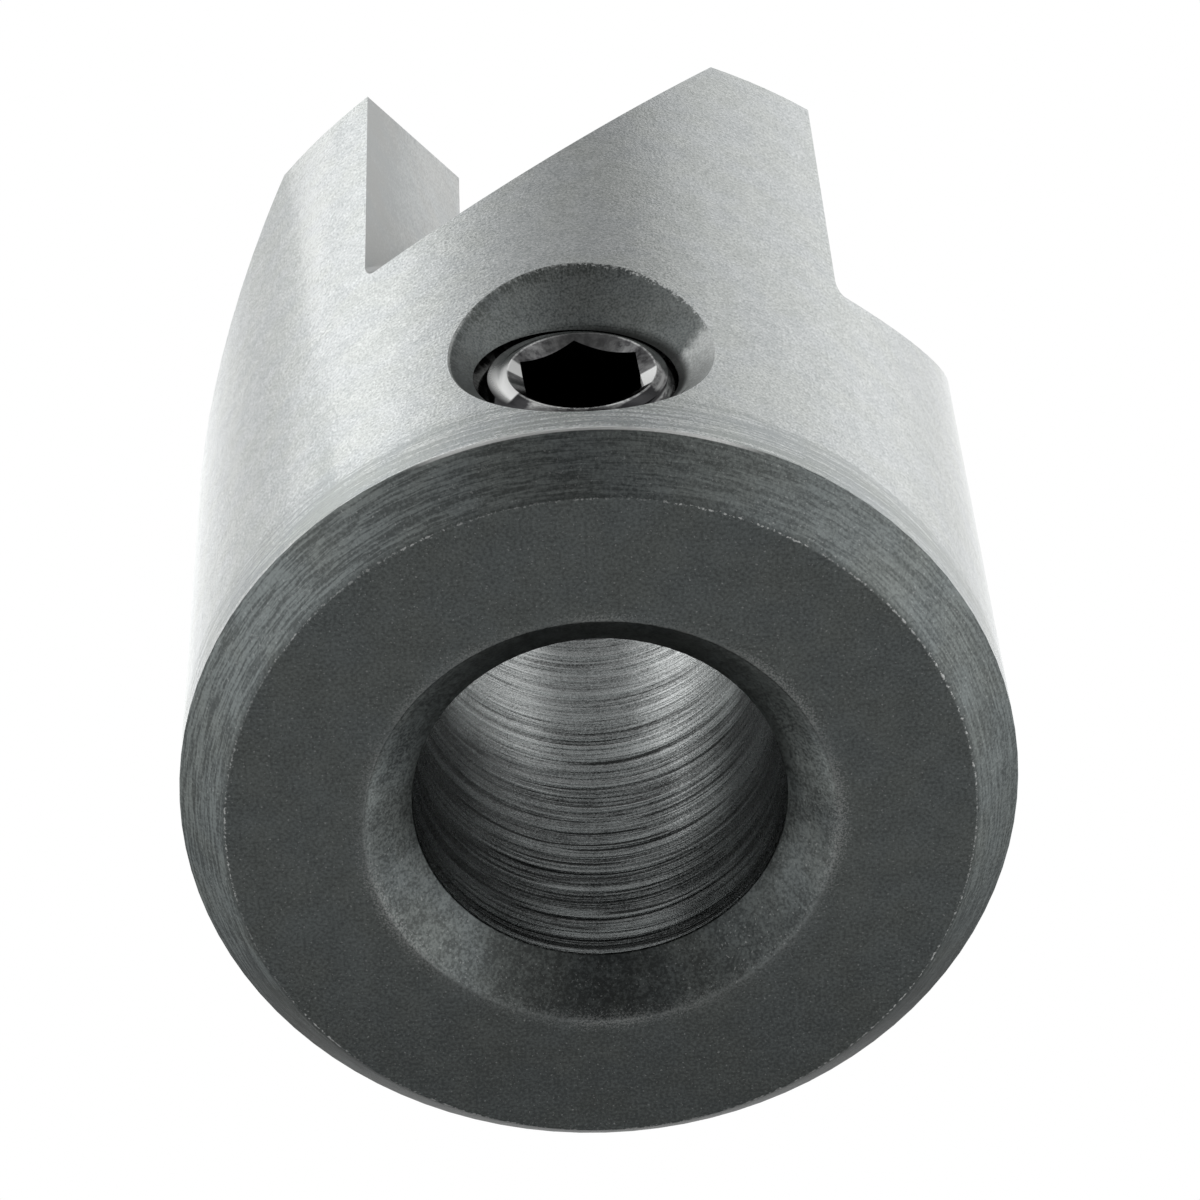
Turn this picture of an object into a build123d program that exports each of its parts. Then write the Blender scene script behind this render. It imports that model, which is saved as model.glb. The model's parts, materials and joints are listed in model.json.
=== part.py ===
from build123d import *
import os
from math import cos, radians, sin, sqrt, tan

# Slip-on countersink for a twist drill.
# Millimetres, +Z toward the teeth, origin at the centre of the flat back face,
# on the axis of the bore. The grub screw points toward -Y.

# Turned blank
body_diameter = 18.0
overall_length = 25.5           # back face to the inner corners of the teeth
drill_diameter = 8.0            # the drill that the tool slides on to
bore_clearance = 0.04           # on the diameter
back_chamfer_width = 1.0        # across the back face
back_chamfer_height = 1.25      # up the wall
bore_chamfer = 1.05             # 45 degrees, at the back mouth of the bore
edge_break = 0.08               # radius on the turned edges at the back end

# Teeth
tooth_count = 5
point_angle = 90.0              # included angle of the cone that the edges cut
rake_angle = 8.0                # how far the tooth faces lean back from the radius
relief_angle = 18.5             # drop of the ground land behind each edge
gullet_height = 10.95           # back face to the gullet's root, at the outer wall
gullet_tilt = 27.0              # between the gullet's root line and the tool's axis
gullet_angle = 77.5             # between the tooth face and the ramp behind it
gullet_root_radius = 0.2
edge_past_screw = 40.6          # turn from the grub screw to the next cutting edge

# Tapped hole with its conical mouth
hole_height = 5.3               # back face to the axis of the hole
mouth_diameter = 6.8            # at the crown of the outer wall
mouth_angle = 100.0             # included

# Grub screw, M5 with a hexagon socket and a flat point
thread_diameter = 5.0
thread_pitch = 0.8
thread_clearance = 0.03         # radial, between the plain stand-ins for the threads
screw_length = 4.0
screw_depth = 0.84              # crown of the outer wall to the screw's outer face
rim_diameter = 3.88             # outside of the flat ring round the socket
socket_mouth_diameter = 3.2     # inside of that ring, where the 45 degree cone starts
socket_width = 2.5              # across the flats
socket_depth = 2.0
socket_turn = 35.0              # from the +X side to the first corner of the hexagon
point_diameter = 3.5
rim_break = 0.06                # radius on both edges of the flat ring

# A thread's mean diameter is this share of its pitch below its outside diameter
mean_diameter_drop = 0.6495

# Worked out from the sizes above
body_radius = body_diameter / 2
bore_radius = (drill_diameter + bore_clearance) / 2
point_height = (body_radius - bore_radius) / tan(radians(point_angle / 2))
corner_height = overall_length - point_height       # outer corner of each cutting edge
pitch_radius = (thread_diameter - mean_diameter_drop * thread_pitch) / 2
hole_radius = pitch_radius + thread_clearance / 2
screw_radius = pitch_radius - thread_clearance / 2
reach = 2 * overall_length                          # long enough to cut right through

bottom_up = (Align.CENTER, Align.CENTER, Align.MIN)


def tooth_axes():
    """Outward and forward directions of the tooth face whose outer corner is on +X."""
    lean = radians(rake_angle)
    outward = Vector(cos(lean), sin(lean), 0)
    forward = Vector(-sin(lean), cos(lean), 0)
    return outward, forward


def turned_blank():
    """The blank as it comes off the lathe: bored, chamfered and coned at the front."""
    profile = make_face(Polyline(
        (bore_radius, bore_chamfer),
        (bore_radius + bore_chamfer, 0),
        (body_radius - back_chamfer_width, 0),
        (body_radius, back_chamfer_height),
        (body_radius, corner_height),
        (bore_radius, overall_length),
        close=True,
    ))
    back_edges = profile.vertices().filter_by_position(Axis.Y, 0, back_chamfer_height)
    return revolve(Plane.XZ * fillet(back_edges, edge_break), Axis.Z)


def gullet():
    """One V-shaped milling cut: the tooth face, the rounded root and the long ramp."""
    outward, forward = tooth_axes()
    tilt = radians(gullet_tilt)
    root_line = outward * sin(tilt) - Vector(0, 0, cos(tilt))
    section = Plane(origin=(body_radius, 0, gullet_height), x_dir=forward, z_dir=root_line)
    spread = radians(gullet_angle)
    notch = make_face(Polyline(
        (0, 0),
        (0, reach),
        (reach * sin(spread), reach * cos(spread)),
        close=True,
    ))
    root = notch.vertices().sort_by_distance((0, 0, 0))[0]
    return extrude(section * fillet(root, gullet_root_radius), reach, both=True)


def land_relief():
    """What is ground away above one land, so that it falls behind its cutting edge."""
    outward, forward = tooth_axes()
    off_centre = body_radius * sin(radians(rake_angle))
    edge_run = (body_radius * cos(radians(rake_angle))
                - sqrt(bore_radius ** 2 - off_centre ** 2))
    edge = outward * -edge_run + Vector(0, 0, point_height)
    square_up = outward * point_height + Vector(0, 0, edge_run)
    drop = radians(relief_angle)
    up = square_up.normalized() * cos(drop) - forward * sin(drop)
    land = Plane(origin=(body_radius, 0, corner_height), x_dir=edge, z_dir=up)
    return land * Box(reach, reach, reach, align=bottom_up)


def screw_axis_plane():
    """Plane on the tool's axis at the hole, with its normal out along the hole."""
    return Plane(origin=(0, 0, hole_height), x_dir=(1, 0, 0), z_dir=(0, -1, 0))


def screw_hole():
    """The tapped hole, as a plain hole at the thread's mean size, with its mouth."""
    slope = tan(radians(mouth_angle / 2))
    mouth_depth = (mouth_diameter / 2 - hole_radius) / slope
    mouth_height = 2 * mouth_depth
    mouth = Cone(hole_radius, hole_radius + mouth_height * slope, mouth_height, align=bottom_up)
    hole = Cylinder(hole_radius, body_radius, align=bottom_up)
    return screw_axis_plane() * (hole + Pos(0, 0, body_radius - mouth_depth) * mouth)


def cutter_body():
    """The one-piece cutter: blank, five gullets, five ground lands and the screw hole."""
    body = turned_blank()
    for tooth in range(tooth_count):
        turn = Rot(0, 0, edge_past_screw - 90 + tooth * 360 / tooth_count)
        body -= turn * gullet()
        body -= turn * land_relief()
    return body - screw_hole()


def grub_screw():
    """The clamp screw, from its flat point up to the socket at the outer wall."""
    face = body_radius - screw_depth
    tip = face - screw_length
    rim_radius = rim_diameter / 2
    point_radius = point_diameter / 2
    mouth_radius = socket_mouth_diameter / 2
    profile = make_face(Polyline(
        (0, tip),
        (point_radius, tip),
        (screw_radius, tip + screw_radius - point_radius),
        (screw_radius, face - (screw_radius - rim_radius)),
        (rim_radius, face),
        (mouth_radius, face),
        (0, face - mouth_radius),
        close=True,
    ))
    rim_edges = profile.vertices().group_by(Axis.Y)[-1]
    blank = revolve(Plane.XZ * fillet(rim_edges, rim_break), Axis.Z)
    hexagon = RegularPolygon(socket_width / 2, 6, major_radius=False, rotation=socket_turn)
    socket = Pos(0, 0, face - socket_depth) * extrude(hexagon, socket_depth)
    return screw_axis_plane() * (blank - socket)


os.makedirs("parts", exist_ok=True)
export_step(cutter_body(), "parts/cutter_body.step")
export_step(grub_screw(), "parts/grub_screw.step")
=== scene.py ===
import json
from math import hypot, pi, radians, sin, tan

import bmesh
import bpy
from mathutils import Matrix, Vector


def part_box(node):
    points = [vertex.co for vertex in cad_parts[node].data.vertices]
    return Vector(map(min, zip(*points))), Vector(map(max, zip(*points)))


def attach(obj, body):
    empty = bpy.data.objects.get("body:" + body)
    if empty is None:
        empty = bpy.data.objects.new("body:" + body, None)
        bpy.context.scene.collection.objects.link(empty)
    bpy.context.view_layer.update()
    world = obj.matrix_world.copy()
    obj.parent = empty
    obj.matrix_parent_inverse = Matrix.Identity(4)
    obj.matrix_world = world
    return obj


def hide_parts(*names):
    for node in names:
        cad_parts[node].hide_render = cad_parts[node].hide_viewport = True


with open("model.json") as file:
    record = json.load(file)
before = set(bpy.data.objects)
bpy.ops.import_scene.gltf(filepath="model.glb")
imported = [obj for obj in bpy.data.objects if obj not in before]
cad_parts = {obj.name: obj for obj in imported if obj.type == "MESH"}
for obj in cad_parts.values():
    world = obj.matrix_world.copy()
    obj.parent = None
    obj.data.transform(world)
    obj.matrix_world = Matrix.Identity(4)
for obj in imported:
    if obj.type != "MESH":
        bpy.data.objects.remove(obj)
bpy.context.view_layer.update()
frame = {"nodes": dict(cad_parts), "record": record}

mm = 0.001

# Sizes that the frame gives, in metres
mounts = {mount["name"]: mount for mount in frame["record"]["mounts"]}
body_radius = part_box("cutter_body")[1].x
bore_radius = mounts["drill_bore"]["dims"]["r_mm"] * mm
hole_height = mounts["key_socket"]["pos_m"][2]
screw_face = -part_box("grub_screw")[0].y
screw_tip = -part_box("grub_screw")[1].y

# Sizes that the part's source names
back_chamfer_width = 1.0 * mm
back_chamfer_height = 1.25 * mm
bore_chamfer = 1.05 * mm
hole_radius = 2.255 * mm
mouth_radius = 3.4 * mm
mouth_angle = radians(100)              # included
mouth_slope = tan(mouth_angle / 2)
mouth_facing = sin(mouth_angle / 2)     # share of the cone's normal that points out along the hole
socket_width = 2.5 * mm
socket_depth = 2.0 * mm
socket_turn = radians(35)
socket_mouth_radius = 1.6 * mm
point_radius = 1.75 * mm

# The screw's outer face, which the source has as a flat ring with a 90 degree cone
rim_radius = 1.9 * mm
rim_fall = 0.17 * mm                    # how far the rim falls away to its outside
rim_dome = 1.2                          # 1 would be a straight cone, and more is a dome
rim_shift = (-0.12 * mm, 0.07 * mm, 0)  # its outside lies off centre, to -X and up
face_lean = radians(2)                  # the top of the face leans outward
socket_cone_slope = tan(radians(30))    # the socket's mouth is a 120 degree cone

# The M5 thread, which the source leaves to this script
thread_pitch = 0.8 * mm
thread_radius = 2.5 * mm
thread_crest = thread_pitch / 8
thread_phase = 0.19 * mm         # turns the thread so that its groove opens on the left
screw_play = 0.05 * mm
tapped_radius = 2.067 * mm
screw_root_radius = 2.01 * mm
flank_slope = tan(radians(30))

# The mouth's cone meets the hole at this distance from the tool's axis
cone_start = body_radius - (mouth_radius - hole_radius) / mouth_slope

# From the hole's own frame, with its axis along Z, to the tool's frame
hole_frame = Matrix.Translation((0, 0, hole_height)) @ Matrix.Rotation(pi / 2, 4, "X")


# Making and cutting pieces

def piece_from(bm, name):
    """An object that holds the bmesh."""
    mesh = bpy.data.meshes.new(name)
    bm.to_mesh(mesh)
    bm.free()
    piece = bpy.data.objects.new(name, mesh)
    bpy.context.scene.collection.objects.link(piece)
    return piece


def turned(profile, steps=96, closed=False):
    """A solid turned about Z from the corners (radius, height) of half its section."""
    bm = bmesh.new()
    corners = [bm.verts.new((radius, 0, height)) for radius, height in profile]
    if closed:
        corners.append(corners[0])
    for first, second in zip(corners, corners[1:]):
        bm.edges.new((first, second))
    bmesh.ops.spin(bm, geom=[*bm.verts, *bm.edges], cent=(0, 0, 0), axis=(0, 0, 1),
                   angle=2 * pi, steps=steps, use_merge=True)
    bmesh.ops.remove_doubles(bm, verts=bm.verts, dist=0.0001 * mm)
    bmesh.ops.recalc_face_normals(bm, faces=bm.faces)
    return bm


def coil(inner_radius, inner_width, outer_radius, outer_width, start, end, steps_per_turn=64):
    """A right-handed helical bar about Z, whose section narrows or widens from inside to outside."""
    bm = bmesh.new()
    section = [
        (inner_radius, -inner_width / 2), (outer_radius, -outer_width / 2),
        (outer_radius, outer_width / 2), (inner_radius, inner_width / 2),
    ]
    face = bm.faces.new([bm.verts.new((radius, 0, start + along)) for radius, along in section])
    turns = (end - start) / thread_pitch
    bmesh.ops.spin(bm, geom=[face, *face.edges, *face.verts], cent=(0, 0, 0), axis=(0, 0, 1),
                   dvec=(0, 0, thread_pitch / steps_per_turn), angle=turns * 2 * pi,
                   steps=round(turns * steps_per_turn))
    bmesh.ops.recalc_face_normals(bm, faces=bm.faces)
    return bm


def change(piece, operation, tool):
    """Cuts the tool from the piece, or joins it on, and removes the tool."""
    boolean = piece.modifiers.new("boolean", "BOOLEAN")
    boolean.operation = operation
    boolean.object = tool
    boolean.solver = "EXACT"
    made = piece.evaluated_get(bpy.context.evaluated_depsgraph_get())
    piece.modifiers.clear()
    piece.data = bpy.data.meshes.new_from_object(made)
    bpy.data.objects.remove(tool)


def in_hole(bm, name):
    """A piece whose bmesh was drawn in the hole's frame, put in its place."""
    bmesh.ops.transform(bm, matrix=hole_frame, verts=bm.verts)
    return piece_from(bm, name)


def shade_smooth(piece, sharp_from=30):
    """Smooth faces with sharp edges, and normals that keep the flats flat."""
    piece.data.shade_smooth()
    piece.data.set_sharp_from_angle(angle=radians(sharp_from))
    weighted = piece.modifiers.new("even_flats", "WEIGHTED_NORMAL")
    weighted.keep_sharp = True


# The two pieces

def make_screw():
    """The grub screw with its real thread and its coned hexagon socket."""
    blank_radius = thread_radius - screw_play
    rim_width = rim_radius - socket_mouth_radius
    dome = [(rim_radius - rim_width * share, screw_face - rim_fall * (1 - share) ** rim_dome)
            for share in (0, 0.2, 0.4, 0.6, 0.8, 1)]
    bm = turned([
        (0, screw_tip),
        (point_radius, screw_tip),
        (blank_radius, screw_tip + blank_radius - point_radius),
        (blank_radius, screw_face - rim_fall - (blank_radius - rim_radius)),
        *dome,
        (0, screw_face - socket_mouth_radius * socket_cone_slope),
    ])
    slack = 0.01 * mm
    outer_face = [vert for vert in bm.verts if vert.co.z > screw_face - rim_fall - slack]
    outside = [vert for vert in outer_face
               if abs(hypot(vert.co.x, vert.co.y) - rim_radius) < slack]
    bmesh.ops.translate(bm, verts=outside, vec=rim_shift)
    bmesh.ops.rotate(bm, verts=outer_face, cent=(0, 0, screw_face),
                     matrix=Matrix.Rotation(face_lean, 3, "X"))
    screw = in_hole(bm, "clamp_screw")
    socket = bmesh.new()
    corner_radius = socket_width / 3 ** 0.5
    bmesh.ops.create_cone(socket, cap_ends=True, segments=6, radius1=corner_radius,
                          radius2=corner_radius, depth=2 * socket_depth)
    bmesh.ops.rotate(socket, verts=socket.verts, cent=(0, 0, 0),
                     matrix=Matrix.Rotation(socket_turn + pi / 6, 3, "Z"))
    bmesh.ops.translate(socket, verts=socket.verts, vec=(0, 0, screw_face))
    change(screw, "DIFFERENCE", in_hole(socket, "socket"))
    crest = thread_pitch - thread_crest
    depth = blank_radius - screw_root_radius
    groove = coil(screw_root_radius, crest - 2 * depth * flank_slope,
                  thread_radius, crest + 2 * screw_play * flank_slope,
                  screw_tip - 1.5 * thread_pitch + thread_phase,
                  screw_face + 1.5 * thread_pitch + thread_phase)
    change(screw, "DIFFERENCE", in_hole(groove, "groove"))
    shade_smooth(screw)
    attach(screw, "clamp_screw")
    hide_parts("grub_screw")
    return screw


def make_cutter():
    """The cutter with the turns of its tapped hole, which the source leaves plain."""
    bm = bmesh.new()
    bm.from_mesh(frame["nodes"]["cutter_body"].data)
    bmesh.ops.remove_doubles(bm, verts=bm.verts, dist=0.0005 * mm)
    cutter = piece_from(bm, "cutter")
    cutter.data.attributes.remove(cutter.data.attributes["custom_normal"])
    recess = 0.003 * mm              # keeps the liner's ends off the cone and the bore
    overlap = 0.025 * mm             # how far the liner reaches into the wall round the hole
    liner_radius = hole_radius + overlap
    liner_start = 3 * mm             # inside the bore, which is then cut clear
    liner = in_hole(turned([
        (tapped_radius, liner_start),
        (liner_radius, liner_start),
        (liner_radius, cone_start - recess + (liner_radius - hole_radius) / mouth_slope),
        (tapped_radius, cone_start - recess + (tapped_radius - hole_radius) / mouth_slope),
    ], closed=True), "liner")
    bm = bmesh.new()
    bmesh.ops.create_cone(bm, cap_ends=True, segments=192, radius1=bore_radius + recess,
                          radius2=bore_radius + recess, depth=4 * hole_height)
    change(liner, "DIFFERENCE", piece_from(bm, "bore"))
    change(cutter, "UNION", liner)
    groove_start = 2 * mm            # inside the tapped hole, so that the cut comes through
    depth = thread_radius - groove_start
    groove = coil(groove_start, thread_crest + 2 * depth * flank_slope,
                  thread_radius, thread_crest,
                  screw_tip - 2 * thread_pitch + thread_phase,
                  screw_face + thread_pitch + thread_phase)
    change(cutter, "DIFFERENCE", in_hole(groove, "groove"))
    shade_smooth(cutter)
    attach(cutter, "cutter")
    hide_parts("cutter_body")
    return cutter


screw = make_screw()
cutter = make_cutter()


# Shader nodes

def add(tree, kind, inputs=None, **settings):
    """One shader node; each input is a number, a colour or another node's output."""
    made = tree.nodes.new(kind)
    for name, value in settings.items():
        setattr(made, name, value)
    for name, value in (inputs or {}).items():
        if isinstance(value, bpy.types.NodeSocket):
            tree.links.new(value, made.inputs[name])
        else:
            made.inputs[name].default_value = value
    return made


def math(tree, operation, *values, clamp=False):
    """The output of a Math node."""
    return add(tree, "ShaderNodeMath", dict(enumerate(values)), operation=operation,
               use_clamp=clamp).outputs[0]


def vector(tree, operation, *values, output=0, **inputs):
    """An output of a Vector Math node."""
    return add(tree, "ShaderNodeVectorMath", {**dict(enumerate(values)), **inputs},
               operation=operation).outputs[output]


def plus(tree, value, mask, amount, clamp=False):
    """The value, with the amount added where the mask is 1."""
    return math(tree, "MULTIPLY_ADD", mask, amount, value, clamp=clamp)


def product(tree, first, *others):
    """Some values multiplied together."""
    for other in others:
        first = math(tree, "MULTIPLY", first, other)
    return first


def largest(tree, first, *others):
    """The largest of some values."""
    for other in others:
        first = math(tree, "MAXIMUM", first, other)
    return first


def blend(tree, share, first, second):
    """A colour between two colours."""
    return add(tree, "ShaderNodeMix", {0: share, 6: first, 7: second}, data_type="RGBA").outputs[2]


def fade(tree, value, start, end):
    """0 where the value is at start and 1 where it is at end, with soft ends."""
    return add(tree, "ShaderNodeMapRange",
               {"Value": value, "From Min": start, "From Max": end},
               interpolation_type="SMOOTHSTEP").outputs[0]


def band(tree, value, start, full, fading, end):
    """1 where the value is from full to fading, and 0 before start and after end."""
    return product(tree, fade(tree, value, start, full), fade(tree, value, end, fading))


def line_at(tree, value, middle):
    """1 within 0.02 of the middle and 0 beyond 0.05."""
    away = math(tree, "ABSOLUTE", math(tree, "SUBTRACT", value, middle))
    return fade(tree, away, 0.05, 0.02)


def fade_between(tree, share, low, high):
    """A number that runs from low to high as the share runs from 0 to 1."""
    return plus(tree, low, share, high - low)


def material(name):
    """A new material and its tree, with the shader still to be added."""
    made = bpy.data.materials.new(name)
    made.use_nodes = True
    made.node_tree.nodes.clear()
    return made, made.node_tree


def surface(tree, inputs):
    """The material's shader, joined to its output."""
    shader = add(tree, "ShaderNodeBsdfPrincipled", inputs)
    add(tree, "ShaderNodeOutputMaterial", {"Surface": shader.outputs[0]})


def split(tree, place):
    """The x, y and z of a place or a direction."""
    return add(tree, "ShaderNodeSeparateXYZ", {0: place}).outputs


def place_mm(tree):
    """The place on the piece in millimetres, whole and as x, y and height."""
    place = vector(tree, "SCALE", add(tree, "ShaderNodeTexCoord").outputs["Object"], Scale=1 / mm)
    return place, *split(tree, place)


def noise(tree, place, size, detail=2.0, roughness=0.5):
    """Noise whose patches are about size millimetres across; the size may be a socket."""
    smaller = vector(tree, "SCALE", place, Scale=math(tree, "DIVIDE", 1.0, size))
    return add(tree, "ShaderNodeTexNoise",
               {"Vector": smaller, "Scale": 1.0, "Detail": detail, "Roughness": roughness}
               ).outputs[0]


def bump(tree, height, depth_mm):
    """A normal from a height, where 1 is depth_mm above 0."""
    return add(tree, "ShaderNodeBump",
               {"Height": height, "Strength": 1.0, "Distance": depth_mm * mm}).outputs[0]


# Effects that more than one finish uses

def new_group(name, inputs, outputs):
    """A node group with named sockets, its inputs to read and its outputs to fill."""
    tree = bpy.data.node_groups.new(name, "ShaderNodeTree")
    for socket, value in inputs.items():
        kind = "NodeSocketVector" if value is None else "NodeSocketFloat"
        made = tree.interface.new_socket(socket, in_out="INPUT", socket_type=kind)
        if value is not None:
            made.default_value = value
    for socket in outputs:
        tree.interface.new_socket(socket, in_out="OUTPUT", socket_type="NodeSocketFloat")
    return (tree, tree.nodes.new("NodeGroupInput").outputs,
            tree.nodes.new("NodeGroupOutput").inputs)


def use(tree, group, inputs):
    """The outputs of a group placed in a material."""
    return add(tree, "ShaderNodeGroup", inputs, node_tree=group).outputs


def steel_grain():
    """The fine grain of a worked steel surface, how its tone drifts, and how its hue does."""
    tree, given, result = new_group("steel_grain", {"Position": None, "Size": 0.07},
                                    ["Height", "Tone", "Drift"])
    fine = noise(tree, given["Position"], given["Size"], detail=3.0, roughness=0.6)
    wide = noise(tree, given["Position"], product(tree, given["Size"], 9.0), detail=3.0)
    slow = noise(tree, given["Position"], product(tree, given["Size"], 22.0))
    fine_tone = product(tree, fade(tree, fine, 0.25, 0.75), 0.83)
    tree.links.new(fine, result["Height"])
    tree.links.new(plus(tree, fine_tone, fade(tree, wide, 0.3, 0.7), 0.17), result["Tone"])
    tree.links.new(fade(tree, slow, 0.35, 0.65), result["Drift"])
    return tree


def turning_marks():
    """Lines that a lathe tool or a grinding wheel leaves round the tool's axis.

    Breaks sets how short the lines are: each is about 1 / Breaks of the radius long.
    """
    tree, given, result = new_group(
        "turning_marks", {"Position": None, "Spacing": 0.1, "Breaks": 3.0, "Detail": 4.0},
        ["Height", "Lines", "Spokes"])
    x, y, height = split(tree, given["Position"])
    flat = add(tree, "ShaderNodeCombineXYZ", {0: x, 1: y}).outputs[0]
    radius = vector(tree, "LENGTH", flat, output="Value")
    round_axis = vector(tree, "SCALE", vector(tree, "NORMALIZE", flat), Scale=given["Breaks"])
    across = math(tree, "DIVIDE", plus(tree, height, radius, -0.6), given["Spacing"])
    place = vector(tree, "ADD", round_axis,
                   add(tree, "ShaderNodeCombineXYZ", {2: across}).outputs[0])
    lines = add(tree, "ShaderNodeTexNoise",
                {"Vector": place, "Scale": 1.0, "Detail": given["Detail"],
                 "Roughness": 0.65}).outputs[0]
    spokes = add(tree, "ShaderNodeTexNoise",
                 {"Vector": round_axis, "Scale": 3.0, "Detail": 3.0, "Roughness": 0.6}).outputs[0]
    tree.links.new(lines, result["Height"])
    tree.links.new(fade(tree, lines, 0.6, 0.4), result["Lines"])
    tree.links.new(fade(tree, spokes, 0.4, 0.6), result["Spokes"])
    return tree


def ring_distance():
    """How far the place is from a circle round the tool's axis."""
    tree, given, result = new_group(
        "ring_distance", {"Position": None, "Radius": 8.0, "Height": 0.0}, ["Distance"])
    x, y, height = split(tree, given["Position"])
    radius = math(tree, "SQRT", math(tree, "ADD", math(tree, "POWER", x, 2.0),
                                     math(tree, "POWER", y, 2.0)))
    sideways = math(tree, "POWER", math(tree, "SUBTRACT", radius, given["Radius"]), 2.0)
    upward = math(tree, "POWER", math(tree, "SUBTRACT", height, given["Height"]), 2.0)
    tree.links.new(math(tree, "SQRT", math(tree, "ADD", sideways, upward)), result["Distance"])
    return tree


def hole_marks():
    """Where a place lies about the screw hole, and the marks that a cutter chatters round it.

    Turn is in degrees, from the -X side and down.
    """
    tree, given, result = new_group(
        "hole_marks", {"Position": None, "Height": 5.3, "Breaks": 30.0},
        ["Radius", "Depth", "Turn", "Spokes", "Arcs"])
    x, y, height = split(tree, given["Position"])
    upward = math(tree, "SUBTRACT", height, given["Height"])
    flat = add(tree, "ShaderNodeCombineXYZ", {0: x, 1: upward}).outputs[0]
    radius = vector(tree, "LENGTH", flat, output="Value")
    round_hole = vector(tree, "SCALE", vector(tree, "NORMALIZE", flat), Scale=given["Breaks"])
    for name, closeness in (("Spokes", 2.0), ("Arcs", 16.0)):
        outward = product(tree, radius, closeness)
        place = vector(tree, "ADD", round_hole,
                       add(tree, "ShaderNodeCombineXYZ", {2: outward}).outputs[0])
        marks = add(tree, "ShaderNodeTexNoise",
                    {"Vector": place, "Scale": 1.0, "Detail": 2.0, "Roughness": 0.6}).outputs[0]
        tree.links.new(fade(tree, marks, 0.4, 0.6), result[name])
    turn = math(tree, "ARCTAN2", product(tree, upward, -1.0), product(tree, x, -1.0))
    tree.links.new(radius, result["Radius"])
    tree.links.new(product(tree, y, -1.0), result["Depth"])
    tree.links.new(math(tree, "DEGREES", turn), result["Turn"])
    return tree


def worn_edge():
    """A ragged band along an edge, where the finish has rubbed off in places."""
    tree, given, result = new_group(
        "worn_edge", {"Position": None, "Distance": 1.0, "Width": 0.1, "Size": 0.1}, ["Mask"])
    ragged = fade(tree, noise(tree, given["Position"], given["Size"], detail=4.0, roughness=0.7),
                  0.4, 0.7)
    share = math(tree, "DIVIDE", given["Distance"], given["Width"])
    rubbed = fade(tree, math(tree, "SUBTRACT", ragged, share), 0.0, 0.25)
    here = fade(tree, noise(tree, given["Position"], 3.0, detail=3.0), 0.35, 0.65)
    tree.links.new(product(tree, rubbed, fade_between(tree, here, 0.25, 1.0)), result["Mask"])
    return tree


def bright_specks():
    """Small scattered specks."""
    tree, given, result = new_group(
        "bright_specks", {"Position": None, "Size": 0.06, "Threshold": 0.7}, ["Mask"])
    spots = noise(tree, given["Position"], given["Size"], detail=1.0)
    end = math(tree, "ADD", given["Threshold"], 0.06)
    mask = add(tree, "ShaderNodeMapRange",
               {"Value": spots, "From Min": given["Threshold"], "From Max": end}).outputs[0]
    tree.links.new(mask, result["Mask"])
    return tree


grain_group = steel_grain()
turning_group = turning_marks()
ring_group = ring_distance()
hole_group = hole_marks()
edge_group = worn_edge()
speck_group = bright_specks()


# Finishes, in which places and sizes are in millimetres and turns in degrees

def wall_painted_highlight(tree, x, y, height):
    """A painted highlight: how much lighter the wall is on the left, beside a border that leans
    with its height.
    """
    turn = math(tree, "DEGREES", math(tree, "ARCTAN2", x, product(tree, y, -1.0)))
    border = plus(tree, -34.0, height, -0.65)
    past = math(tree, "SUBTRACT", turn, border)
    lit = math(tree, "SUBTRACT", fade(tree, past, -2.5, 2.0), fade(tree, turn, -42.0, -36.0))
    return product(tree, lit, 0.45)


def ground_wall():
    """Bright cylindrical grinding, with coarser turning marks left near the back chamfer.

    A painted highlight lies on its left, and another along its edge with the back chamfer at
    the front.
    """
    made, tree = material("ground_wall")
    place, x, y, height = place_mm(tree)
    grain = use(tree, grain_group, {"Position": place, "Size": 0.055})
    pits = use(tree, speck_group, {"Position": place, "Size": 0.06, "Threshold": 0.66})[0]
    strokes = use(tree, turning_group, {"Position": place, "Spacing": 0.06, "Breaks": 60.0,
                                        "Detail": 1.0})
    marks = use(tree, turning_group, {"Position": place, "Spacing": 0.1, "Breaks": 2.0})
    edge = use(tree, ring_group, {"Position": place, "Radius": body_radius / mm,
                                  "Height": back_chamfer_height / mm})[0]
    # painted highlight along the wall's edge with the back chamfer, only at the front
    rim = product(tree, fade(tree, edge, 0.06, 0.03), fade(tree, y, -8.1, -8.6))
    near_back = fade(tree, height, 3.1, 1.9)
    tone = plus(tree, grain["Tone"], product(tree, marks["Lines"], near_back), -0.95)
    tone = plus(tree, math(tree, "ADD", tone, 0.08), pits, -0.5)
    tone = plus(tree, tone, strokes["Lines"], -0.15)
    # painted highlight on the left of the wall
    tone = math(tree, "ADD", tone, wall_painted_highlight(tree, x, y, height))
    tone = math(tree, "ADD", tone, rim, clamp=True)
    relief = plus(tree, grain["Height"], strokes["Height"], 0.6)
    relief = plus(tree, relief, marks["Height"], product(tree, near_back, 2.5))
    cool = blend(tree, tone, (0.525, 0.562, 0.565, 1), (0.97, 1.0, 1.0, 1))
    warm = blend(tree, tone, (0.525, 0.559, 0.543, 1), (0.97, 1.0, 0.982, 1))
    surface(tree, {
        "Base Color": blend(tree, grain["Drift"], cool, warm),
        "Metallic": 1.0,
        "Roughness": fade_between(tree, grain["Height"], 0.12, 0.24),
        "Normal": bump(tree, relief, 0.01),
    })
    return made


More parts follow.
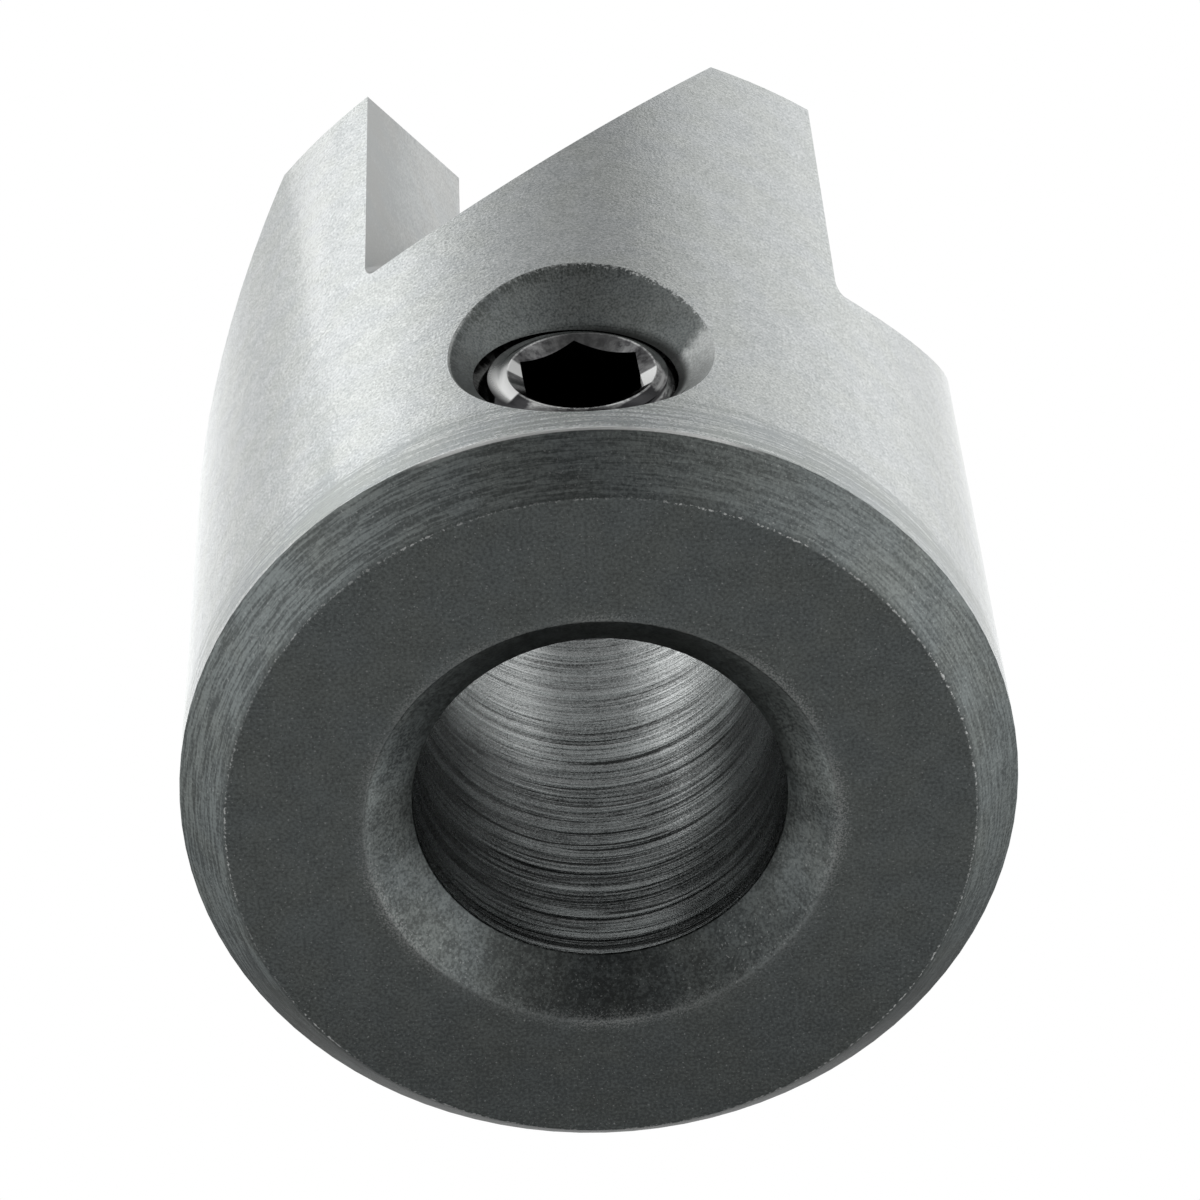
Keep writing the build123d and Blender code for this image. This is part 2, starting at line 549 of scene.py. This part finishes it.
def milled_teeth():
    """Ground tooth faces, ramps and lands, darker outward and toward the gullets' ends."""
    made, tree = material("milled_teeth")
    place, _, _, height = place_mm(tree)
    grain = use(tree, grain_group, {"Position": place, "Size": 0.07})
    scratched = use(tree, turning_group, {"Position": place, "Spacing": 0.06, "Breaks": 12.0})
    from_axis = use(tree, ring_group, {"Position": place, "Radius": 0.0, "Height": height})[0]
    # darker outward and toward the gullets' ends; only the colour changes
    darkening = largest(tree, product(tree, fade(tree, from_axis, 5.5, 8.8), 0.6),
                     product(tree, fade(tree, height, 18.0, 11.0), 0.8))
    tone = math(tree, "SUBTRACT", grain["Tone"], darkening)
    cool = blend(tree, tone, (0.42, 0.44, 0.44, 1), (0.75, 0.775, 0.772, 1))
    warm = blend(tree, tone, (0.43, 0.44, 0.43, 1), (0.76, 0.775, 0.762, 1))
    surface(tree, {
        "Base Color": blend(tree, grain["Drift"], cool, warm),
        "Metallic": 1.0,
        "Roughness": fade_between(tree, grain["Height"], 0.3, 0.42),
        "Normal": bump(tree, plus(tree, grain["Height"], scratched["Height"], 0.7), 0.008),
    })
    return made


def how_light(tree, x, y, on_chamfer, in_bore_mouth):
    """How much lighter the two chamfers are than the black of the back face; how this changes
    from side to side is painted light and shade.
    """
    sideways = math(tree, "ABSOLUTE", x)
    # painted light on the outer chamfer, more towards its sides, fading out towards +Y
    outer = product(tree, fade_between(tree, fade(tree, sideways, 2.0, 7.0), 0.42, 0.7),
                    fade(tree, y, 6.0, 2.0))
    # painted shade on part of the bore chamfer toward +X and +Y, and painted light on its sides
    # toward -Y
    painted_shade_part = product(tree, fade(tree, x, -3.3, -1.9), fade(tree, y, 1.2, 3.2))
    upper_sides = product(tree, fade(tree, y, 0.2, -1.2), fade(tree, sideways, 1.2, 3.6))
    inner = plus(tree, fade_between(tree, painted_shade_part, 0.35, -0.25), upper_sides, 1.4)
    return plus(tree, plus(tree, 1.0, on_chamfer, outer), in_bore_mouth, inner)


def black_back():
    """Blackened steel on the back face and its chamfers, rubbed bright in specks at the edges.

    The chamfers are painted with light and shade that change from side to side, and their
    edge with the wall carries a painted highlight at the front.
    """
    made, tree = material("black_back")
    place, x, y, height = place_mm(tree)
    grain = use(tree, grain_group, {"Position": place, "Size": 0.07})
    marks = use(tree, turning_group, {"Position": place, "Spacing": 0.03, "Breaks": 7.0})
    radial = use(tree, turning_group, {"Position": place, "Spacing": 1.0, "Breaks": 5.0})
    outer, inner, wall = (
        use(tree, ring_group, {"Position": place, "Radius": radius / mm, "Height": up / mm})[0]
        for radius, up in ((body_radius - back_chamfer_width, 0), (bore_radius + bore_chamfer, 0),
                           (body_radius, back_chamfer_height)))
    on_chamfer = product(tree, fade(tree, height, 0.0, 0.15), fade(tree, outer, 2.2, 1.9))
    in_bore_mouth = product(tree, fade(tree, height, 0.0, 0.1), fade(tree, outer, 2.7, 2.9))
    turned_tone = product(tree, on_chamfer, math(tree, "SUBTRACT", 0.5, marks["Lines"]))
    turned_depth = fade_between(tree, fade(tree, x, -3.0, 3.0), 0.85, 0.5)
    tone = plus(tree, grain["Tone"], turned_tone, turned_depth)
    tone = plus(tree, tone, fade(tree, y, 1.0, 7.0), -0.3)
    patchy = fade(tree, noise(tree, place, 0.35, detail=5.0, roughness=0.7), 0.35, 0.65)
    streaks = plus(tree, plus(tree, -0.58, patchy, 0.4), radial["Spokes"], 0.25)
    streaks = plus(tree, streaks, grain["Tone"], 0.5)
    tone = plus(tree, tone, streaks, in_bore_mouth, clamp=True)
    cool = blend(tree, tone, (0.062, 0.068, 0.068, 1), (0.136, 0.150, 0.149, 1))
    warm = blend(tree, tone, (0.063, 0.068, 0.066, 1), (0.137, 0.149, 0.144, 1))
    black = vector(tree, "SCALE", blend(tree, grain["Drift"], cool, warm),
                   Scale=how_light(tree, x, y, on_chamfer, in_bore_mouth))
    worn_outer = use(tree, edge_group, {"Position": place, "Distance": outer, "Width": 0.05,
                                        "Size": 0.09})[0]
    worn_inner = use(tree, edge_group, {"Position": place, "Distance": inner, "Width": 0.42,
                                        "Size": 0.045})[0]
    # painted highlight along the wall's edge, only at the front
    wall_edge_highlight = product(tree, fade(tree, wall, 0.09, 0.06), fade(tree, y, -8.1, -8.6))
    specks = use(tree, speck_group, {"Position": place, "Size": 0.06, "Threshold": 0.68})[0]
    # what is rubbed bright at the edges and in specks, and the painted highlight along the wall's
    # edge
    rubbed = largest(tree, wall_edge_highlight, product(tree, worn_outer, 0.55),
                     product(tree, worn_inner, 0.18), product(tree, specks, 0.2))
    relief = plus(tree, grain["Height"], marks["Height"], product(tree, on_chamfer, 2.0))
    surface(tree, {
        "Base Color": blend(tree, rubbed, black, (0.75, 0.76, 0.75, 1)),
        "Specular Tint": (0.4, 0.4, 0.4, 1),
        "Metallic": 1.0,
        "Roughness": fade_between(tree, grain["Height"], 0.28, 0.42),
        "Normal": bump(tree, relief, 0.006),
    })
    return made


def black_mouth():
    """Blackened steel in the cone of the screw hole.

    Its cutter chattered on the upper left, and the grinding wheel has caught its right side.
    """
    made, tree = material("black_mouth")
    place, x, _, height = place_mm(tree)
    grain = use(tree, grain_group, {"Position": place, "Size": 0.05})
    hole = use(tree, hole_group, {"Position": place, "Height": hole_height / mm, "Breaks": 40.0})
    wall = use(tree, ring_group, {"Position": place, "Radius": body_radius / mm,
                                  "Height": height})[0]
    rim = use(tree, edge_group, {"Position": place, "Distance": wall, "Width": 0.1,
                                 "Size": 0.07})[0]
    left_edge = product(tree, fade(tree, wall, 0.08, 0.03), fade(tree, x, -2.2, -2.9), 0.6)
    ragged = noise(tree, place, 0.25, detail=5.0, roughness=0.7)
    rightward = plus(tree, plus(tree, x, fade(tree, height, 6.7, 5.5), 1.4), ragged, 1.6)
    caught = product(tree, fade(tree, rightward, 3.45, 4.3), 0.85)
    rubbed = largest(tree, rim, caught, left_edge)
    chattered = product(tree, fade(tree, wall, 0.3, 0.1), fade(tree, x, 1.6, 0.4))
    notches = product(tree, chattered, plus(tree, 0.14, hole["Spokes"], 0.3))
    tone = math(tree, "SUBTRACT", grain["Tone"], notches, clamp=True)
    cool = blend(tree, tone, (0.082, 0.09, 0.089, 1), (0.245, 0.264, 0.261, 1))
    warm = blend(tree, tone, (0.083, 0.09, 0.086, 1), (0.246, 0.263, 0.257, 1))
    black = blend(tree, grain["Drift"], cool, warm)
    bare = blend(tree, grain["Tone"], (0.37, 0.386, 0.382, 1), (0.80, 0.82, 0.81, 1))
    # painted shade: the cone goes nearly black where it nears the hole, more on the right
    deep = product(tree, fade(tree, hole["Radius"], 2.36, 2.16),
                   fade_between(tree, fade(tree, x, -0.8, 0.8), 0.46, 0.92))
    surface(tree, {
        "Base Color": blend(tree, deep, blend(tree, rubbed, black, bare),
                            (0.02, 0.021, 0.02, 1)),
        "Metallic": 1.0,
        "Roughness": fade_between(tree, grain["Height"], 0.34, 0.5),
        "Normal": bump(tree, plus(tree, grain["Height"], notches, 1.5), 0.006),
    })
    return made


def bore_shine(tree, sideways, x, height):
    """Where the bore shines, on both sides of its middle and most of all deep inside."""
    deep = product(tree, band(tree, sideways, 0.6, 1.8, 3.0, 3.7), fade(tree, height, 7.0, 9.5))
    low = product(tree, band(tree, sideways, 1.3, 2.0, 2.4, 3.2), fade(tree, height, 3.0, 6.0),
                  fade_between(tree, fade(tree, x, -1.0, 1.0), 0.35, 0.85))
    return largest(tree, deep, low)


def bored_steel():
    """The bore, with the rough rings of a single-point tool, painted darker below and at its sides
    as shade, and painted lighter deep inside and where it shines.
    """
    made, tree = material("bored_steel")
    place, x, _, height = place_mm(tree)
    grain = use(tree, grain_group, {"Position": place, "Size": 0.05})
    rings, grooves, scratches = (
        use(tree, turning_group, {"Position": place, "Spacing": spacing, "Breaks": breaks,
                                  "Detail": detail})
        for spacing, breaks, detail in ((0.32, 0.6, 1.0), (0.12, 0.7, 1.0), (0.05, 1.6, 2.0)))
    sideways = math(tree, "ABSOLUTE", x)
    side = plus(tree, sideways, fade(tree, x, 0.0, 1.0), -0.15)
    side = plus(tree, side, fade(tree, height, 7.0, 10.0), -0.4)
    dark = plus(tree, plus(tree, -0.1, rings["Lines"], 0.35),
                fade(tree, grooves["Height"], 0.42, 0.34), 0.7)
    # painted shade: the ring lines grow darker toward the entrance and at the sides
    dark = product(tree, dark,
                   fade_between(tree, fade(tree, height, 13.0, 3.0), 0.35, 1.5),
                   fade_between(tree, fade(tree, side, 1.9, 3.2), 1.0, 1.7))
    dark = plus(tree, dark, scratches["Lines"], 0.42)
    tone = math(tree, "SUBTRACT", plus(tree, 0.48, grain["Tone"], 0.85), dark, clamp=True)
    shiny = bore_shine(tree, sideways, x, height)
    # painted shade in the lower middle
    lower_middle = product(tree, fade(tree, sideways, 1.6, 0.8), fade(tree, height, 11.0, 8.0))
    shiny_right = product(tree, shiny, fade(tree, x, 1.2, 2.2), fade(tree, height, 14.0, 12.0))
    shiny_left = product(tree, shiny, fade(tree, x, -0.3, -1.5))
    tone = plus(tree, tone, lower_middle, -0.08)
    tone = plus(tree, tone, shiny_right, 0.25)
    tone = plus(tree, tone, shiny_left, 0.25, clamp=True)
    # painted light: the steel is lighter deep inside, darker at the sides, and near white where the
    # bore shines
    steel_with_painted_light = blend(tree, fade(tree, height, 3.0, 13.0), (0.38, 0.395, 0.395, 1),
                  (0.53, 0.552, 0.552, 1))
    steel_with_painted_light = blend(tree, fade(tree, side, 2.3, 3.4), steel_with_painted_light, (0.24, 0.25, 0.25, 1))
    steel_with_painted_light = blend(tree, shiny, steel_with_painted_light, (0.94, 0.97, 0.965, 1))
    relief = plus(tree, grooves["Height"], rings["Height"], 2.0)
    relief = plus(tree, relief, scratches["Height"], 0.5)
    relief = plus(tree, relief, grain["Height"], 0.4)
    surface(tree, {
        "Base Color": blend(tree, tone, (0.02, 0.022, 0.022, 1), steel_with_painted_light),
        "Metallic": 1.0,
        "Roughness": fade_between(tree, grain["Height"], 0.18, 0.34),
        "Normal": bump(tree, relief, 0.02),
    })
    return made


def tapped_steel():
    """The flanks of the tapped thread, black with oxide and painted darker still as shade inside
    the hole, rubbed at their crests, with painted highlights on both sides.
    """
    made, tree = material("tapped_steel")
    place, x, _, _ = place_mm(tree)
    grain = use(tree, grain_group, {"Position": place, "Size": 0.05})
    hole = use(tree, hole_group, {"Position": place, "Height": hole_height / mm, "Breaks": 12.0})
    crest = fade(tree, hole["Radius"], 2.2, 2.1)
    ripples = math(tree, "SINE", product(tree, hole["Radius"], 55.0))
    # painted highlights: light ripples and lighter flanks on the right, lighter flanks on the left;
    # only the crests' share is rubbed
    rubbed = product(tree, fade(tree, x, 0.5, 1.6),
                     plus(tree, 0.08, fade(tree, ripples, 0.4, 0.95), 0.12))
    rubbed = plus(tree, rubbed, fade(tree, x, 1.5, 1.9), 0.25)
    rubbed = plus(tree, rubbed, fade(tree, x, -1.2, -1.8), 0.15)
    rubbed = largest(tree, rubbed, product(tree, crest, 0.12))
    scraped = product(tree, hole["Arcs"], plus(tree, 0.12, crest, -0.06))
    # the dark end of the colour is black oxide painted darker still as shade
    share = plus(tree, rubbed, grain["Tone"], scraped)
    surface(tree, {
        "Base Color": blend(tree, share, (0.012, 0.013, 0.012, 1), (0.6, 0.61, 0.6, 1)),
        "Metallic": 1.0,
        "Roughness": fade_between(tree, hole["Spokes"], 0.2, 0.34),
        "Normal": bump(tree, grain["Height"], 0.003),
    })
    return made


def ring_tone(tree, hole, bright, across, x, height, mottled):
    """How light the screw's ring is, mostly from painted light.

    It is painted bright on the left as a highlight and lighter at its top and right, then darker
    in a band and streaked at the lower left, and dark beyond a crescent at the lower right as
    a painted shadow. A line runs along its outside.
    """
    turn = hole["Turn"]
    darker_band = band(tree, turn, 31.0, 34.0, 42.0, 50.0)
    streaked = product(tree, band(tree, turn, 43.0, 52.0, 62.0, 88.0),
                       plus(tree, 0.2, hole["Arcs"], 0.12))
    # painted shadow: the ring goes dark beyond a crescent at its lower right
    painted_shadow_crescent = product(tree, fade(tree, x, 0.6, 1.0), fade(tree, height, 4.6, 4.3),
                       fade(tree, across, 1.7, 1.75))
    outside = product(tree, line_at(tree, across, 1.86),
                      fade_between(tree, fade(tree, x, -0.5, 1.0), 0.5, 0.36))
    tone = plus(tree, plus(tree, 0.03, mottled, 0.12), hole["Arcs"], 0.12)
    # painted light: lighter on the right, at the top and on the left
    tone = plus(tree, tone, fade(tree, x, 1.3, 1.7), 0.05)
    tone = plus(tree, tone, fade(tree, height, 4.8, 5.8), 0.22)
    tone = plus(tree, tone, band(tree, turn, -50.0, -10.0, 31.0, 34.0), 0.25)
    tone = plus(tree, largest(tree, tone, bright, streaked), darker_band, -0.3, clamp=True)
    return plus(tree, largest(tree, tone, outside), painted_shadow_crescent, -0.5, clamp=True)


def cone_tone(tree, hole, lit_right, x, height, mottled):
    """How light the cone of the socket is: painted highlights on the right and lower right and in
    two places on the left, and painted lighter at its top middle.
    """
    turn = hole["Turn"]
    # painted highlights: on the lower right, and two on the left
    below = product(tree, fade(tree, x, 1.0, 1.1), fade(tree, height, 4.6, 4.5), 0.6)
    facing = product(tree, band(tree, turn, -24.0, -20.0, -6.0, -3.0), 0.75)
    lower = product(tree, band(tree, turn, 12.0, 15.0, 22.0, 26.0), 0.45)
    # painted light at the top middle
    upper_middle = product(tree, fade(tree, height, 4.8, 5.8),
                           fade(tree, math(tree, "ABSOLUTE", x), 0.9, 0.3))
    tone = plus(tree, product(tree, hole["Spokes"], 0.06), mottled, 0.08)
    tone = plus(tree, tone, upper_middle, 0.12)
    return largest(tree, tone, lit_right, below, facing, lower)


def black_screw_steel():
    """Black oxide, mottled in the cone of the socket, with painted highlights on the domed ring
    and in the cone, and a painted shadow at the ring's lower right.
    """
    made, tree = material("black_screw")
    place, x, _, height = place_mm(tree)
    grain = use(tree, grain_group, {"Position": place, "Size": 0.05})
    hole = use(tree, hole_group, {"Position": place, "Height": hole_height / mm, "Breaks": 7.0})
    below_face = math(tree, "SUBTRACT", screw_face / mm, hole["Depth"])
    on_ring = product(tree, fade(tree, hole["Radius"], 1.56, 1.62),
                      fade(tree, below_face, 0.2, 0.12))
    in_cone = product(tree, fade(tree, hole["Radius"], 1.62, 1.58),
                      fade(tree, below_face, 0.5, 0.3))
    across = plus(tree, hole["Radius"], x, 0.06)
    mottled = fade(tree, noise(tree, place, 0.16, detail=4.0, roughness=0.65), 0.38, 0.6)
    # painted highlights: bright on the left of the ring, and lit on the right of the socket's cone
    bright = band(tree, hole["Turn"], -32.0, -6.0, 31.0, 34.0)
    lit_right = product(tree, fade(tree, x, 1.0, 1.1), band(tree, height, 4.6, 4.7, 5.3, 5.4))
    ring = product(tree, on_ring, ring_tone(tree, hole, bright, across, x, height, mottled))
    cone = product(tree, in_cone, cone_tone(tree, hole, lit_right, x, height, mottled))
    lip = product(tree, line_at(tree, hole["Radius"], socket_mouth_radius / mm),
                  plus(tree, 0.12, mottled, 0.3))
    # painted highlight: light arcs on the shoulder at the lower right
    shoulder = product(tree, band(tree, across, 1.92, 1.96, 2.08, 2.2), fade(tree, x, 0.9, 1.6),
                       fade(tree, height, 3.9, 4.4), plus(tree, 0.06, hole["Arcs"], 0.3))
    # how light each place is: mottled black oxide and lines at the edges, with the painted
    # highlights and shadow
    bare = largest(tree, math(tree, "ADD", ring, cone), lip, shoulder)
    # the painted highlight on the right of the cone is made white and hardly metallic
    scratched = product(tree, in_cone, lit_right)
    rough = largest(tree, scratched, product(tree, on_ring, bright))
    surface(tree, {
        "Base Color": blend(tree, bare, (0.045, 0.045, 0.047, 1), (0.95, 0.96, 0.95, 1)),
        "Metallic": fade_between(tree, scratched, 1.0, 0.12),
        "Roughness": plus(tree, fade_between(tree, grain["Height"], 0.08, 0.2), rough, 0.2),
        "Normal": bump(tree, grain["Height"], 0.0015),
    })
    return made


finishes = {made.name: made for made in (
    ground_wall(), milled_teeth(), black_back(), black_mouth(), bored_steel(), tapped_steel())}
black_screw = black_screw_steel()


def finish_of(centre, normal):
    """The finish on a face of the cutter, from where the face is and how it is turned."""
    slack = 0.05 * mm
    clear_of_bore = 0.01 * mm
    nearly_out, nearly_in, downward = 0.95, -0.9, -0.3
    cone_slack = 0.04
    radius = hypot(centre.x, centre.y)
    # 1 where the face looks straight out from the tool's axis, and -1 where it looks at it
    outward = (centre.x * normal.x + centre.y * normal.y) / radius
    from_hole = hypot(centre.x, centre.z - hole_height)
    cone_radius = hole_radius + (-centre.y - cone_start) * mouth_slope
    in_wall = radius > bore_radius + clear_of_bore
    if radius > body_radius - slack and outward > nearly_out:
        return "ground_wall"
    if centre.z < back_chamfer_height and normal.z < downward and abs(outward) < nearly_out:
        return "black_back"
    if centre.y < 0 and from_hole < mouth_radius + slack and in_wall:
        faces_out = abs(normal.y + mouth_facing) < cone_slack
        on_cone = abs(from_hole - cone_radius) < slack and faces_out
        return "black_mouth" if on_cone else "tapped_steel"
    if radius < bore_radius + slack and outward < nearly_in:
        return "bored_steel"
    return "milled_teeth"


def paint(piece):
    """Gives each face of the cutter its finish."""
    mesh = piece.data
    mesh.materials.clear()
    order = list(finishes)
    for name in order:
        mesh.materials.append(finishes[name])
    for face in mesh.polygons:
        face.material_index = order.index(finish_of(face.center, face.normal))
    bm = bmesh.new()
    bm.from_mesh(mesh)
    teeth = order.index("milled_teeth")
    for edge in bm.edges:
        kinds = {face.material_index for face in edge.link_faces}
        if teeth in kinds and len(kinds) > 1:
            edge.smooth = False
    bm.to_mesh(mesh)
    bm.free()


paint(cutter)
screw.data.materials.clear()
screw.data.materials.append(black_screw)


# The floor, which shows only from above, and the light

def make_floor():
    """A pale disc that shows from above and is clear from below."""
    floor_radius = 0.6
    bm = bmesh.new()
    bmesh.ops.create_circle(bm, cap_ends=True, segments=96, radius=floor_radius)
    floor = piece_from(bm, "floor")
    made, tree = material("pale_floor")
    geometry = add(tree, "ShaderNodeNewGeometry")
    pale = add(tree, "ShaderNodeBsdfDiffuse", {"Color": (0.9, 0.9, 0.9, 1)})
    clear = add(tree, "ShaderNodeBsdfTransparent")
    sides = add(tree, "ShaderNodeMixShader",
                {0: geometry.outputs["Backfacing"], 1: pale.outputs[0], 2: clear.outputs[0]})
    add(tree, "ShaderNodeOutputMaterial", {"Surface": sides.outputs[0]})
    floor.data.materials.append(made)
    floor.visible_diffuse = False
    floor.visible_glossy = False
    floor.visible_transmission = False
    floor.visible_shadow = False


def levels_round(tree, around, levels):
    """The room's brightness by direction, from its level at some angles round the tool."""
    ramp = add(tree, "ShaderNodeValToRGB", {0: around})
    elements = ramp.color_ramp.elements
    first, *between, last = sorted(levels)
    for element, angle in ((elements[0], first), (elements[1], last)):
        element.position = (angle + 180) / 360
        element.color = (levels[angle], levels[angle], levels[angle], 1)
    for angle in between:
        element = elements.new((angle + 180) / 360)
        element.color = (levels[angle], levels[angle], levels[angle], 1)
    return ramp.outputs[0]


def make_world():
    """White to the camera; to the tool, a pale room that is darker behind the camera."""
    world = bpy.data.worlds.new("studio")
    bpy.context.scene.world = world
    world.use_nodes = True
    tree = world.node_tree
    tree.nodes.clear()
    x, y, up = split(tree, add(tree, "ShaderNodeTexCoord").outputs["Generated"])
    azimuth = math(tree, "ARCTAN2", x, product(tree, y, -1.0))
    around = plus(tree, 0.5, azimuth, 1 / (2 * pi))
    high = levels_round(tree, around, {
        -180: 1.4, -150: 1.15, -124: 0.72, -108: 0.56, -90: 0.57, -80: 1.16, -62: 1.15,
        -40: 0.58, -20: 0.37, 0: 0.33, 18: 0.23, 34: 0.55, 50: 0.58, 68: 0.66, 100: 0.94,
        122: 0.7, 140: 0.84, 180: 1.4})
    low = levels_round(tree, around, {
        -180: 0.4, -120: 0.74, -75: 1.0, -42: 0.56, -26: 0.41, -10: 0.165, 10: 0.165, 26: 0.52,
        42: 0.82, 75: 1.15, 120: 0.94, 180: 0.4})
    room = blend(tree, fade(tree, up, 0.5, 0.2), high, low)
    room = blend(tree, fade(tree, up, -0.55, -1.0), room, (0.59, 0.59, 0.59, 1))
    ahead = fade(tree, math(tree, "ABSOLUTE", azimuth), radians(50), radians(30))
    bright_strip = product(tree, ahead, band(tree, up, 0.2, 0.26, 0.4, 0.46))
    room = blend(tree, bright_strip, room, (1.2, 1.2, 1.2, 1))
    path = add(tree, "ShaderNodeLightPath")
    lit = blend(tree, path.outputs["Is Diffuse Ray"], room, (0.85, 0.85, 0.85, 1))
    seen = blend(tree, path.outputs["Is Camera Ray"], lit, (1, 1, 1, 1))
    background = add(tree, "ShaderNodeBackground", {"Color": seen})
    add(tree, "ShaderNodeOutputWorld", {"Surface": background.outputs[0]})


def make_camera():
    """The photograph's camera, below the back face and looking up at the screw.

    It was fitted to the circles of the back end, as they lie in the photo.
    """
    tilt, roll, turn = radians(30.70), radians(-3.69), radians(-1.39)
    place = Vector((-0.004, 0.534, 12.011)) * body_radius
    focal_length_px, photo_width_px = 5088.7, 1200
    data = bpy.data.cameras.new("camera")
    data.sensor_width = 36
    data.lens = focal_length_px / photo_width_px * data.sensor_width
    data.clip_start = 0.01
    data.clip_end = 10
    camera = bpy.data.objects.new("camera", data)
    bpy.context.scene.collection.objects.link(camera)
    camera.matrix_world = (
        Matrix.Rotation(turn, 4, "Z") @ Matrix.Rotation(pi - tilt, 4, "X")
        @ Matrix.Rotation(roll, 4, "Z") @ Matrix.Translation(place)
    )
    bpy.context.scene.camera = camera


make_floor()
make_world()
make_camera()
bpy.context.scene.view_settings.view_transform = "Standard"
